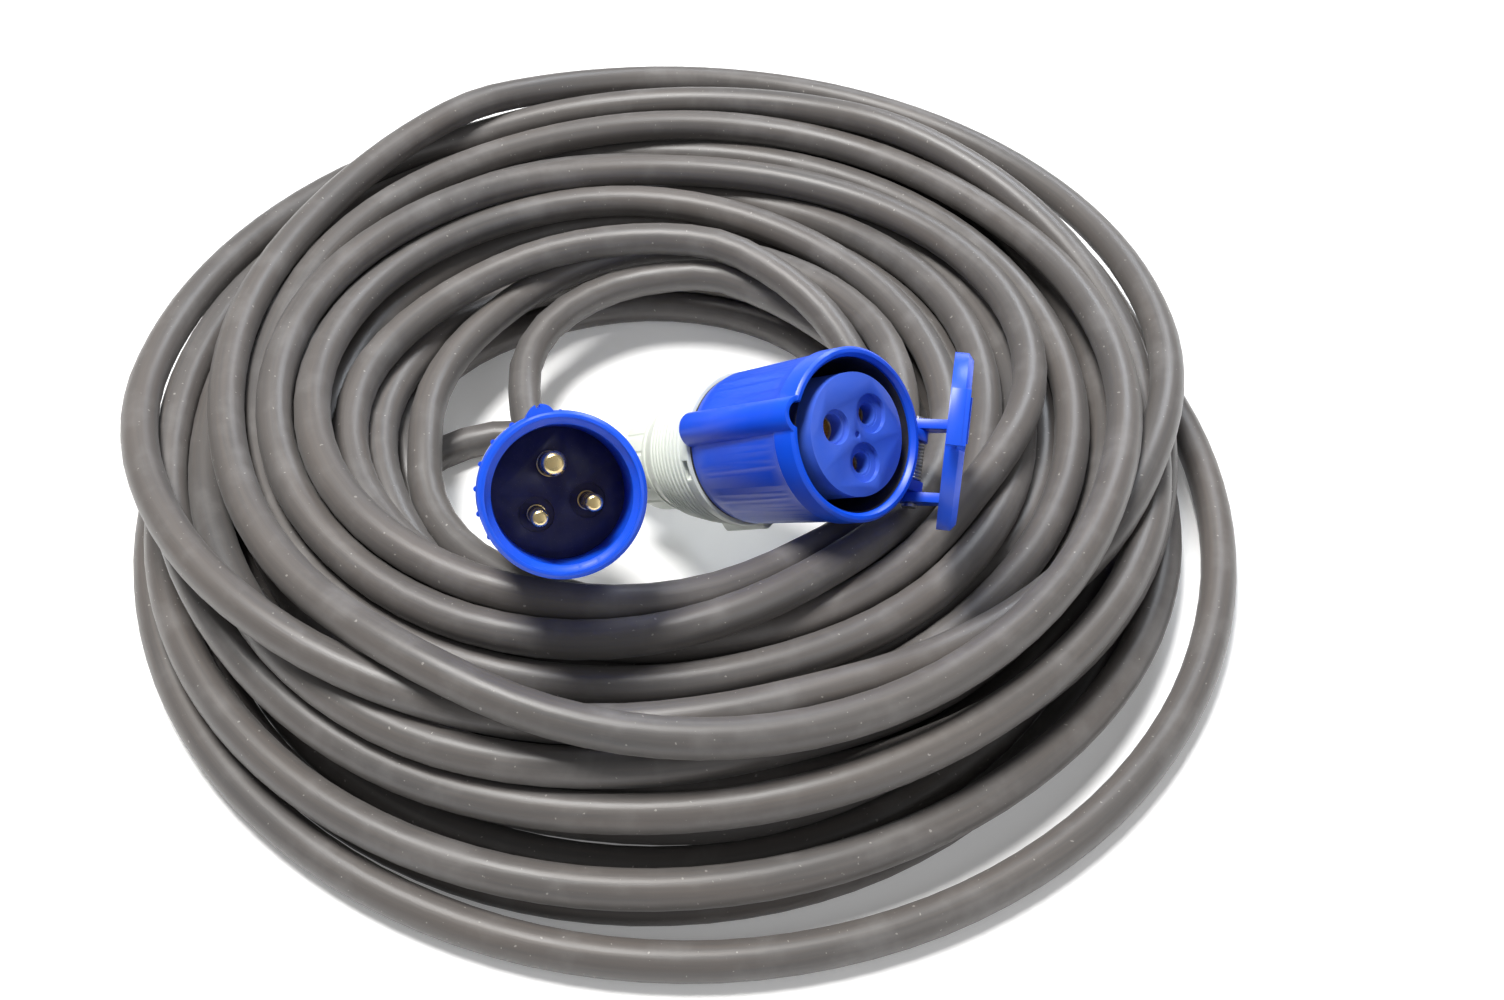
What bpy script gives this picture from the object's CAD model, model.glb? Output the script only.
"""Looks of a caravan shore power cord: its coil of rubber cable, plug, connector and lid.

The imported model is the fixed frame. Lengths are metres in that frame unless a name ends
in _mm, and every finished piece keeps its place in its mesh.
"""

import logging
import math
from dataclasses import dataclass, field
from enum import Enum
from typing import Any, Callable, Iterable, Sequence

import bpy
import numpy as np
from mathutils import Matrix, Vector


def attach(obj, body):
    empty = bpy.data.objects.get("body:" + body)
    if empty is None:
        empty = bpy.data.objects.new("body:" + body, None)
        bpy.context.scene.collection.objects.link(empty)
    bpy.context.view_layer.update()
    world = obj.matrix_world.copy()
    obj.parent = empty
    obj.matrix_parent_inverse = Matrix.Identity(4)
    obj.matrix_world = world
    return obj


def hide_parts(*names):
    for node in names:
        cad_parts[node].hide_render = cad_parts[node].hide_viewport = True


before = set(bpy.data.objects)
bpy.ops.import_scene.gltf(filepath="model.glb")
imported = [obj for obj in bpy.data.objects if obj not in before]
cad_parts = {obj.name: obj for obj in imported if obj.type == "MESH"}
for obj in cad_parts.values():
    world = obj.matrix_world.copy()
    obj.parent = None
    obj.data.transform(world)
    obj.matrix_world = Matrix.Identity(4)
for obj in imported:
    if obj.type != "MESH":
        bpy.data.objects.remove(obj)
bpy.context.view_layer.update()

MM = 0.001
log = logging.getLogger("shore_cord")

Colour = tuple[float, float, float]
Point = tuple[float, float, float]
Stops = tuple[tuple[float, float], ...]
Rod = tuple[np.ndarray, np.ndarray, float]


def srgb(red: int, green: int, blue: int) -> Colour:
    """Turns a screen colour into the linear one that shaders take.

    Args:
        red: Red from 0 to 255.
        green: Green from 0 to 255.
        blue: Blue from 0 to 255.

    Returns:
        The colour as three linear numbers.
    """
    def linear(value: int) -> float:
        """Gives the linear strength of one channel."""
        share = value / 255
        return share / 12.92 if share <= 0.04045 else ((share + 0.055) / 1.055) ** 2.4

    return linear(red), linear(green), linear(blue)


class Slot(Enum):
    """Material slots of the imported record."""

    BLUE_SHELL = "blue_shell"
    NAVY_INSERT = "navy_insert"
    BRASS = "brass"
    GREY_HOUSING = "grey_housing"
    SEAL_RUBBER = "seal_rubber"
    CABLE_RUBBER = "cable_rubber"


class Body(Enum):
    """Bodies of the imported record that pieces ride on."""

    CORD_SET = "cord_set"
    LID = "lid"


# ---------------------------------------------------------------- shader trees


class Graph:
    """A node tree with a short way to add nodes and join them."""

    def __init__(self, tree: bpy.types.NodeTree) -> None:
        """Keeps the tree that nodes are added to."""
        self.tree = tree

    def add(self, kind: str, inputs: dict[Any, Any] | None = None, **settings: Any) -> bpy.types.Node:
        """Adds one node.

        Args:
            kind: Node type without its ShaderNode prefix.
            inputs: Socket name or number to a value, or to a socket that feeds it.
            settings: Attributes of the node.

        Returns:
            The new node.
        """
        node = self.tree.nodes.new("ShaderNode" + kind)
        for key, value in settings.items():
            setattr(node, key, value)
        for key, value in (inputs or {}).items():
            if isinstance(value, bpy.types.NodeSocket):
                self.tree.links.new(value, node.inputs[key])
            else:
                node.inputs[key].default_value = value
        return node

    def math(self, operation: str, first: Any, second: Any = 0.0, clamp: bool = False) -> bpy.types.NodeSocket:
        """Adds a Math node.

        Args:
            operation: Blender's name of the operation.
            first: Value or socket.
            second: Value or socket.
            clamp: Whether the result is held between 0 and 1.

        Returns:
            The result's socket.
        """
        return self.add("Math", {0: first, 1: second}, operation=operation, use_clamp=clamp).outputs[0]

    def mix(self, factor: Any, first: Any, second: Any) -> bpy.types.NodeSocket:
        """Mixes two colours.

        Args:
            factor: Value or socket that weighs the second colour.
            first: Colour or socket.
            second: Colour or socket.

        Returns:
            The mixed colour's socket.
        """
        node = self.add("Mix", data_type="RGBA")
        for index, value in ((0, factor), (6, first), (7, second)):
            if isinstance(value, bpy.types.NodeSocket):
                self.tree.links.new(value, node.inputs[index])
            elif index == 0:
                node.inputs[index].default_value = value
            else:
                node.inputs[index].default_value = (*value, 1.0)[:4]
        return node.outputs[2]

    def ramp(self, factor: Any, low: float, high: float) -> bpy.types.NodeSocket:
        """Spreads the range from low to high over 0 to 1, held at both ends.

        Args:
            factor: Socket to spread.
            low: Value that becomes 0.
            high: Value that becomes 1.

        Returns:
            The result's socket.
        """
        node = self.add("MapRange", {0: factor, 1: low, 2: high, 3: 0.0, 4: 1.0}, clamp=True)
        return node.outputs[0]

    def times(self, first: Any, second: Any, clamp: bool = False) -> bpy.types.NodeSocket:
        """Multiplies two values or sockets."""
        return self.math("MULTIPLY", first, second, clamp)

    def plus(self, first: Any, second: Any, clamp: bool = False) -> bpy.types.NodeSocket:
        """Adds two values or sockets."""
        return self.math("ADD", first, second, clamp)

    def noise(self, vector: Any, scale: Any, detail: float = 3.0, rough: float = 0.5) -> bpy.types.NodeSocket:
        """Adds a noise of the given scale and returns its value's socket."""
        node = self.add("TexNoise", {"Vector": vector, "Scale": scale, "Detail": detail, "Roughness": rough})
        return node.outputs[0]


class Effects:
    """Shader node groups that several finishes share, each built once."""

    built: dict[str, bpy.types.NodeTree] = {}

    @classmethod
    def group(cls, name: str) -> bpy.types.NodeTree:
        """Gives the group of that name, built at its first use.

        Args:
            name: Name of one of the builder methods below.

        Returns:
            The node group.
        """
        if name not in cls.built:
            cls.built[name] = getattr(cls, name)(name)
        return cls.built[name]

    @staticmethod
    def _tree(name: str, inputs: dict[str, float],
              outputs: Iterable[str]) -> tuple[Graph, bpy.types.Node, bpy.types.Node]:
        """Makes an empty group.

        Args:
            name: Name of the group.
            inputs: Label to default of each input.
            outputs: Label of each output.

        Returns:
            The graph with its input and output nodes.
        """
        tree = bpy.data.node_groups.new(name, "ShaderNodeTree")
        for label, default in inputs.items():
            socket = tree.interface.new_socket(label, in_out="INPUT", socket_type="NodeSocketFloat")
            socket.default_value = default
        for label in outputs:
            tree.interface.new_socket(label, in_out="OUTPUT", socket_type="NodeSocketFloat")
        return Graph(tree), tree.nodes.new("NodeGroupInput"), tree.nodes.new("NodeGroupOutput")

    @classmethod
    def mould_grain(cls, name: str) -> bpy.types.NodeTree:
        """Fine grain and slow waviness that a mould leaves on plastic.

        Args:
            name: Name of the group.

        Returns:
            The node group.
        """
        graph, given, out = cls._tree(name, {"Grain Size": 0.0005, "Wave Size": 0.012}, ("Height", "Patch"))
        place = graph.add("TexCoord").outputs["Object"]
        grain = graph.noise(place, graph.math("DIVIDE", 1.0, given.outputs[0]), 2.0)
        wave = graph.noise(place, graph.math("DIVIDE", 1.0, given.outputs[1]), 2.0)
        height = graph.plus(graph.times(grain, 0.25), wave)
        graph.tree.links.new(height, out.inputs[0])
        graph.tree.links.new(wave, out.inputs[1])
        return graph.tree

    @classmethod
    def handling_scuffs(cls, name: str) -> bpy.types.NodeTree:
        """Thin crossing scuffs from handling, thicker in some patches.

        Args:
            name: Name of the group.

        Returns:
            The node group.
        """
        graph, given, out = cls._tree(name, {"Amount": 0.5, "Length": 0.01}, ("Mask",))
        place = graph.add("TexCoord").outputs["Object"]
        scale = graph.math("DIVIDE", 1.0, given.outputs[1])
        lines = None
        for turn, stretch in ((0.6, (1.0, 9.0, 7.0)), (2.1, (8.0, 1.0, 10.0))):
            turned = graph.add("Mapping", {"Vector": place, "Rotation": (turn, 0.7 * turn, turn), "Scale": stretch})
            off_middle = graph.math("ABSOLUTE", graph.math("SUBTRACT", graph.noise(turned.outputs[0], scale, 1.0), 0.5))
            line = graph.math("SUBTRACT", 1.0, graph.ramp(off_middle, 0.0, 0.012))
            lines = line if lines is None else graph.math("MAXIMUM", lines, line)
        patch = graph.ramp(graph.noise(place, 90.0, 3.0), 0.46, 0.66)
        worn = graph.times(graph.times(lines, patch), given.outputs[0], clamp=True)
        graph.tree.links.new(worn, out.inputs[0])
        return graph.tree

    @classmethod
    def dust_film(cls, name: str) -> bpy.types.NodeTree:
        """Pale dust in soft patches with a few specks.

        Args:
            name: Name of the group.

        Returns:
            The node group.
        """
        graph, given, out = cls._tree(name, {"Amount": 0.3, "Patch Size": 0.02}, ("Mask",))
        place = graph.add("TexCoord").outputs["Object"]
        patch = graph.ramp(graph.noise(place, graph.math("DIVIDE", 1.0, given.outputs[1]), 4.0, 0.6), 0.42, 0.75)
        specks = graph.ramp(graph.noise(place, 2600.0, 1.0), 0.72, 0.76)
        mask = graph.times(graph.plus(patch, graph.times(specks, 1.5)), given.outputs[0], clamp=True)
        graph.tree.links.new(mask, out.inputs[0])
        return graph.tree

    @classmethod
    def jacket_skin(cls, name: str) -> bpy.types.NodeTree:
        """Skin of an extruded rubber jacket, read along the cable's own UV map.

        The map runs round the cable in U and along it in V, both in metres.

        Args:
            name: Name of the group.

        Returns:
            The node group.
        """
        graph, given, out = cls._tree(name, {"Streak": 0.5, "Chalk": 0.3}, ("Tone", "Bloom", "Specks", "Height"))
        map_ = graph.add("TexCoord").outputs["UV"]
        along = graph.add("Mapping", {"Vector": map_, "Scale": (1.0, 0.02, 1.0)}).outputs[0]
        slow = graph.add("Mapping", {"Vector": map_, "Scale": (0.35, 0.05, 1.0)}).outputs[0]
        fine = graph.noise(along, 900.0, 3.0, 0.6)
        broad = graph.noise(slow, 190.0, 3.0)
        grain = graph.noise(map_, 2400.0, 2.0, 0.7)
        tone = graph.plus(graph.times(graph.math("SUBTRACT", fine, 0.5), given.outputs[0]), broad, clamp=True)
        patches = graph.ramp(graph.noise(map_, 46.0, 4.0, 0.6), 0.5, 0.78)
        dots = graph.ramp(graph.noise(map_, 620.0, 1.0), 0.735, 0.76)
        bloom, specks = (graph.times(mask, given.outputs[1], clamp=True) for mask in (patches, dots))
        height = graph.plus(graph.times(grain, 0.5), graph.times(fine, 0.8))
        for index, socket in enumerate((tone, bloom, specks, height)):
            graph.tree.links.new(socket, out.inputs[index])
        return graph.tree


class Finish:
    """What every finish shares: a named material and the groups placed in it."""

    name: str

    def material(self) -> bpy.types.Material:
        """Gives the finish's material, built at its first use.

        Returns:
            The material.
        """
        found = bpy.data.materials.get(self.name)
        if found:
            return found
        made = bpy.data.materials.new(self.name)
        made.use_nodes = True
        graph = Graph(made.node_tree)
        self.shade(graph, made.node_tree.nodes["Principled BSDF"])
        return made

    def shade(self, graph: Graph, surface: bpy.types.Node) -> None:
        """Wires the material; each finish does it in its own way.

        Args:
            graph: The material's graph.
            surface: Its Principled shader.
        """
        raise NotImplementedError

    @staticmethod
    def effect(graph: Graph, name: str, **inputs: float) -> bpy.types.Node:
        """Places one shared effect with this finish's own values.

        Args:
            graph: The material's graph.
            name: Name of the effect.
            inputs: Socket label, with _ for each space, to its value.

        Returns:
            The group node.
        """
        node = graph.add("Group", node_tree=Effects.group(name))
        for label, value in inputs.items():
            node.inputs[label.replace("_", " ")].default_value = value
        return node

    @staticmethod
    def relief(graph: Graph, surface: bpy.types.Node, height: bpy.types.NodeSocket, depth: float) -> None:
        """Feeds a height to the surface's normal through a Bump node of that depth."""
        bump = graph.add("Bump", {"Strength": 1.0, "Distance": depth, "Height": height})
        graph.tree.links.new(bump.outputs[0], surface.inputs["Normal"])


@dataclass(frozen=True)
class MouldedPlastic(Finish):
    """Injection-moulded plastic with a little grain, scuffs and dust."""

    name: str
    colour: Colour
    second: Colour
    roughness: float = 0.3
    grain_depth: float = 0.00003
    wave_size: float = 0.014
    scuff: float = 0.4
    dust: float = 0.12
    dust_colour: Colour = srgb(196, 194, 188)

    def shade(self, graph: Graph, surface: bpy.types.Node) -> None:
        """Wires colour drift, scuffs, dust and grain into the plastic.

        Args:
            graph: The material's graph.
            surface: Its Principled shader.
        """
        grain = self.effect(graph, "mould_grain", Wave_Size=self.wave_size)
        scuffs = self.effect(graph, "handling_scuffs", Amount=self.scuff)
        dust = self.effect(graph, "dust_film", Amount=self.dust)
        body = graph.mix(grain.outputs["Patch"], self.colour, self.second)
        pale = tuple(0.55 * value + 0.30 for value in self.colour)
        body = graph.mix(graph.times(scuffs.outputs[0], 0.45), body, pale)
        body = graph.mix(dust.outputs[0], body, self.dust_colour)
        graph.tree.links.new(body, surface.inputs["Base Color"])
        rough = graph.plus(self.roughness, graph.times(scuffs.outputs[0], 0.25))
        rough = graph.plus(rough, graph.times(dust.outputs[0], 0.5), clamp=True)
        graph.tree.links.new(rough, surface.inputs["Roughness"])
        surface.inputs["IOR"].default_value = 1.5
        self.relief(graph, surface, grain.outputs["Height"], self.grain_depth)


@dataclass(frozen=True)
class TurnedMetal(Finish):
    """Turned or drawn metal with a tarnish and light scuffs."""

    name: str
    colour: Colour
    tarnish: Colour
    roughness: float = 0.22
    scuff: float = 0.6

    def shade(self, graph: Graph, surface: bpy.types.Node) -> None:
        """Wires tarnish patches and scuffs into bare metal.

        Args:
            graph: The material's graph.
            surface: Its Principled shader.
        """
        grain = self.effect(graph, "mould_grain", Grain_Size=0.0002, Wave_Size=0.003)
        scuffs = self.effect(graph, "handling_scuffs", Amount=self.scuff, Length=0.003)
        tone = graph.ramp(grain.outputs["Patch"], 0.35, 0.75)
        body = graph.mix(tone, self.colour, self.tarnish)
        graph.tree.links.new(body, surface.inputs["Base Color"])
        rough = graph.plus(self.roughness, graph.times(tone, 0.16))
        rough = graph.plus(rough, graph.times(scuffs.outputs[0], 0.2), clamp=True)
        graph.tree.links.new(rough, surface.inputs["Roughness"])
        surface.inputs["Metallic"].default_value = 1.0
        self.relief(graph, surface, grain.outputs["Height"], 0.000008)


@dataclass(frozen=True)
class SoftRubber(Finish):
    """Matt moulded rubber with a fine grain and dust."""

    name: str
    colour: Colour
    second: Colour
    roughness: float = 0.62
    dust: float = 0.2

    def shade(self, graph: Graph, surface: bpy.types.Node) -> None:
        """Wires grain and dust into matt rubber.

        Args:
            graph: The material's graph.
            surface: Its Principled shader.
        """
        grain = self.effect(graph, "mould_grain", Grain_Size=0.0003, Wave_Size=0.006)
        dust = self.effect(graph, "dust_film", Amount=self.dust, Patch_Size=0.008)
        body = graph.mix(grain.outputs["Patch"], self.colour, self.second)
        body = graph.mix(dust.outputs[0], body, srgb(170, 166, 160))
        graph.tree.links.new(body, surface.inputs["Base Color"])
        rough = graph.plus(self.roughness, graph.times(dust.outputs[0], 0.3), clamp=True)
        graph.tree.links.new(rough, surface.inputs["Roughness"])
        self.relief(graph, surface, grain.outputs["Height"], 0.00004)


@dataclass(frozen=True)
class CableJacket(Finish):
    """Black-grey rubber jacket with extrusion streaks, chalky bloom and specks."""

    name: str
    colour: Colour
    warm: Colour
    bloom: Colour
    roughness: float = 0.5

    def shade(self, graph: Graph, surface: bpy.types.Node) -> None:
        """Wires the jacket's skin along the cable's UV map.

        Args:
            graph: The material's graph.
            surface: Its Principled shader.
        """
        skin = self.effect(graph, "jacket_skin", Streak=0.9, Chalk=0.34)
        body = graph.mix(skin.outputs["Tone"], self.colour, self.warm)
        body = graph.mix(skin.outputs["Bloom"], body, self.bloom)
        body = graph.mix(skin.outputs["Specks"], body, srgb(205, 200, 194))
        graph.tree.links.new(body, surface.inputs["Base Color"])
        rough = graph.plus(self.roughness, graph.times(skin.outputs["Tone"], 0.12))
        rough = graph.plus(rough, graph.times(skin.outputs["Bloom"], 0.3), clamp=True)
        graph.tree.links.new(rough, surface.inputs["Roughness"])
        surface.inputs["Sheen Weight"].default_value = 0.08
        surface.inputs["Sheen Roughness"].default_value = 0.45
        self.relief(graph, surface, skin.outputs["Height"], 0.00006)


@dataclass(frozen=True)
class PaleFloor(Finish):
    """White studio floor that keeps the cord's shadow."""

    name: str = "pale_floor"
    colour: Colour = (0.93, 0.93, 0.93)
    lift: float = 0.16

    def shade(self, graph: Graph, surface: bpy.types.Node) -> None:
        """Wires a matt white with a small lift where a camera or a mirror looks at it.

        Args:
            graph: The material's graph.
            surface: Its Principled shader.
        """
        drift = graph.noise(graph.add("TexCoord").outputs["Object"], 3.0, 2.0)
        body = graph.mix(drift, self.colour, tuple(0.985 * value for value in self.colour))
        graph.tree.links.new(body, surface.inputs["Base Color"])
        surface.inputs["Roughness"].default_value = 0.9
        surface.inputs["Specular IOR Level"].default_value = 0.1
        path = graph.add("LightPath")
        seen = graph.math("MAXIMUM", path.outputs["Is Camera Ray"], path.outputs["Is Glossy Ray"])
        surface.inputs["Emission Color"].default_value = (1.0, 1.0, 1.0, 1.0)
        graph.tree.links.new(graph.times(seen, self.lift), surface.inputs["Emission Strength"])


BLUE_SHELL = MouldedPlastic("blue_shell_plastic", srgb(8, 74, 216), srgb(10, 86, 230),
                            roughness=0.36, scuff=0.01, dust=0.02)
NAVY_INSERT = MouldedPlastic("navy_insert_plastic", srgb(20, 26, 82), srgb(26, 34, 96),
                             roughness=0.32, scuff=0.1, dust=0.1)
BLUE_INSERT = MouldedPlastic("blue_insert_plastic", srgb(56, 92, 202), srgb(62, 100, 212),
                             roughness=0.32, scuff=0.05, dust=0.06)
SLOT_SHADE = MouldedPlastic("dark_slot_plastic", srgb(9, 11, 30), srgb(13, 15, 38),
                            roughness=0.5, scuff=0.1, dust=0.08)
GREY_HOUSING = MouldedPlastic("grey_housing_plastic", srgb(224, 229, 220), srgb(232, 236, 228),
                              roughness=0.36, scuff=0.08, dust=0.06)
PALE_BRASS = TurnedMetal("pale_brass", srgb(248, 228, 176), srgb(230, 200, 140), scuff=0.3)
BRIGHT_STEEL = TurnedMetal("bright_steel", srgb(196, 197, 198), srgb(156, 156, 156), roughness=0.28)
SEAL_RUBBER = SoftRubber("seal_rubber_black", srgb(28, 28, 29), srgb(38, 37, 37))
RELIEF_RUBBER = SoftRubber("strain_relief_rubber", srgb(52, 51, 50), srgb(66, 64, 62))
JACKET = CableJacket("cable_jacket", srgb(83, 83, 84), srgb(104, 97, 92), srgb(142, 140, 139), roughness=0.35)
CORE_BROWN = SoftRubber("core_brown", srgb(98, 52, 28), srgb(112, 62, 36), roughness=0.45, dust=0.05)
CORE_BLUE = SoftRubber("core_blue", srgb(26, 78, 168), srgb(34, 92, 184), roughness=0.45, dust=0.05)
CORE_GREEN = SoftRubber("core_green_yellow", srgb(96, 150, 34), srgb(196, 190, 40), roughness=0.45, dust=0.05)


# ---------------------------------------------------------------- modelling bench


class Bench:
    """Blender's own modelling tools, one job each, always starting from nothing selected."""

    @staticmethod
    def clear() -> None:
        """Leaves edit mode and deselects everything."""
        if bpy.context.object and bpy.context.object.mode != "OBJECT":
            bpy.ops.object.mode_set(mode="OBJECT")
        bpy.ops.object.select_all(action="DESELECT")

    @classmethod
    def take(cls, piece: bpy.types.Object) -> bpy.types.Object:
        """Selects one piece alone and makes it active.

        Args:
            piece: The piece to select.

        Returns:
            The piece.
        """
        cls.clear()
        piece.select_set(True)
        bpy.context.view_layer.objects.active = piece
        return piece

    @classmethod
    def edit(cls, piece: bpy.types.Object, kind: str = "FACE") -> None:
        """Opens one piece in edit mode with nothing selected.

        Args:
            piece: The piece to open.
            kind: VERT, EDGE or FACE select mode.
        """
        cls.take(piece)
        bpy.ops.object.mode_set(mode="EDIT")
        bpy.ops.mesh.select_mode(type=kind)
        bpy.ops.mesh.select_all(action="DESELECT")

    @classmethod
    def choose(cls, piece: bpy.types.Object, test: Callable[[Any], bool], kind: str = "FACE") -> None:
        """Selects the faces, edges or vertices that pass a test, and stays in edit mode.

        Args:
            piece: The piece that is worked on.
            test: Called with each mesh element.
            kind: VERT, EDGE or FACE.
        """
        cls.edit(piece, kind)
        bpy.ops.object.mode_set(mode="OBJECT")
        parts = {"VERT": piece.data.vertices, "EDGE": piece.data.edges, "FACE": piece.data.polygons}[kind]
        for part in parts:
            part.select = bool(test(part))
        bpy.ops.object.mode_set(mode="EDIT")

    @classmethod
    def done(cls, piece: bpy.types.Object, merge: float = 0.000002) -> bpy.types.Object:
        """Merges doubles, turns the faces outwards and leaves edit mode.

        Args:
            piece: The piece that is worked on.
            merge: Distance below which points are merged.

        Returns:
            The piece.
        """
        cls.edit(piece, "VERT")
        bpy.ops.mesh.select_all(action="SELECT")
        bpy.ops.mesh.remove_doubles(threshold=merge)
        bpy.ops.mesh.normals_make_consistent(inside=False)
        bpy.ops.object.mode_set(mode="OBJECT")
        return piece

    @classmethod
    def turned(cls, name: str, profile: Sequence[tuple[float, float]], sides: int = 96) -> bpy.types.Object:
        """Turns a closed profile about local Z, ring by ring, as a ring is drawn out and scaled.

        Args:
            name: Name of the new piece.
            profile: Radius and height in millimetres of each ring, in order round the section.
            sides: Number of sides.

        Returns:
            The piece, in metres about the origin.
        """
        cls.clear()
        radius, height = profile[0]
        bpy.ops.mesh.primitive_circle_add(vertices=sides, radius=radius * MM, fill_type="NOTHING",
                                          location=(0, 0, height * MM))
        piece = bpy.context.active_object
        bpy.ops.object.mode_set(mode="EDIT")
        bpy.ops.mesh.select_all(action="SELECT")
        for radius_next, height_next in [*profile[1:], profile[0]]:
            bpy.ops.mesh.extrude_region_move(TRANSFORM_OT_translate={"value": (0, 0, (height_next - height) * MM)})
            share = radius_next / radius
            bpy.ops.transform.resize(value=(share, share, 1), center_override=(0, 0, height_next * MM))
            radius, height = radius_next, height_next
        bpy.ops.object.mode_set(mode="OBJECT")
        piece.name = piece.data.name = name
        piece.data.transform(piece.matrix_world)
        piece.matrix_world = Matrix.Identity(4)
        return cls.done(piece)

    @classmethod
    def block(cls, name: str, size: Point, centre: Point, bevel: float, segments: int = 3) -> bpy.types.Object:
        """Makes a block with rounded edges.

        Args:
            name: Name of the new piece.
            size: Width, depth and height in millimetres.
            centre: Middle of the block in millimetres.
            bevel: Width of the rounding in millimetres.
            segments: Steps of the rounding.

        Returns:
            The piece, in metres about the origin.
        """
        cls.clear()
        bpy.ops.mesh.primitive_cube_add(size=1.0)
        piece = bpy.context.active_object
        piece.name = piece.data.name = name
        bpy.ops.object.mode_set(mode="EDIT")
        bpy.ops.mesh.select_all(action="SELECT")
        bpy.ops.transform.resize(value=tuple(v * MM for v in size), center_override=(0, 0, 0))
        bpy.ops.transform.translate(value=tuple(v * MM for v in centre))
        bpy.ops.mesh.bevel(offset=bevel * MM, segments=segments, affect="EDGES")
        bpy.ops.object.mode_set(mode="OBJECT")
        return cls.done(piece)

    @classmethod
    def modify(cls, piece: bpy.types.Object, kind: str, **settings: Any) -> bpy.types.Object:
        """Adds a modifier with the given settings and applies it.

        Args:
            piece: The piece to change.
            kind: Blender's modifier type.
            settings: Attributes of the modifier.

        Returns:
            The piece.
        """
        cls.take(piece)
        modifier = piece.modifiers.new(kind.lower(), kind)
        for key, value in settings.items():
            setattr(modifier, key, value)
        bpy.ops.object.modifier_apply(modifier=modifier.name)
        return piece

    @classmethod
    def smooth(cls, piece: bpy.types.Object, angle: float = 32.0) -> bpy.types.Object:
        """Shades a piece smooth where its faces meet below an angle.

        Args:
            piece: The piece to shade.
            angle: Angle in degrees.

        Returns:
            The piece.
        """
        cls.take(piece)
        bpy.ops.object.shade_smooth_by_angle(angle=math.radians(angle))
        return piece

    @classmethod
    def join(cls, name: str, pieces: Sequence[bpy.types.Object]) -> bpy.types.Object:
        """Joins pieces into one.

        Args:
            name: Name of the joined piece.
            pieces: What is joined; they are used up.

        Returns:
            The joined piece.
        """
        cls.take(pieces[0])
        for other in pieces[1:]:
            other.select_set(True)
        if len(pieces) > 1:
            bpy.ops.object.join()
        piece = bpy.context.view_layer.objects.active
        piece.name = piece.data.name = name
        return piece

    @classmethod
    def repeated(cls, name: str, pattern: bpy.types.Object, places: Sequence[Matrix]) -> bpy.types.Object:
        """Copies a pattern to each place, every copy with its own mesh, and joins them.

        Args:
            name: Name of the joined piece.
            pattern: The piece modelled once; it is used up.
            places: Where each copy goes.

        Returns:
            The joined piece.
        """
        copies = []
        for place in places:
            copy = bpy.data.objects.new(name, pattern.data.copy())
            bpy.context.scene.collection.objects.link(copy)
            copy.data.transform(place)
            copies.append(copy)
        bpy.data.objects.remove(pattern)
        return cls.join(name, copies)

    @classmethod
    def refined(cls, node: str, name: str, rounding: float, segments: int = 2, angle: float = 32.0) -> bpy.types.Object:
        """Takes a copy of a CAD node's mesh, cleans it and rounds its sharp edges.

        Args:
            node: CAD node that is copied.
            name: Name of the new piece.
            rounding: Width of the rounding in millimetres.
            segments: Steps of the rounding.
            angle: Angle in degrees from which an edge is sharp.

        Returns:
            The new piece.
        """
        piece = bpy.data.objects.new(name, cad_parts[node].data.copy())
        piece.data.name = name
        bpy.context.scene.collection.objects.link(piece)
        cls.take(piece)
        if piece.data.has_custom_normals:
            bpy.ops.mesh.customdata_custom_splitnormals_clear()
        bpy.ops.object.mode_set(mode="EDIT")
        bpy.ops.mesh.select_mode(type="VERT")
        bpy.ops.mesh.select_all(action="SELECT")
        bpy.ops.mesh.remove_doubles(threshold=0.000004)
        bpy.ops.mesh.dissolve_limited(angle_limit=math.radians(0.8), use_dissolve_boundaries=False)
        bpy.ops.object.mode_set(mode="OBJECT")
        cls.modify(piece, "BEVEL", width=rounding * MM, segments=segments, limit_method="ANGLE",
                   angle_limit=math.radians(angle), use_clamp_overlap=True, miter_outer="MITER_SHARP",
                   harden_normals=False)
        return cls.smooth(piece, 30.0)


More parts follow.
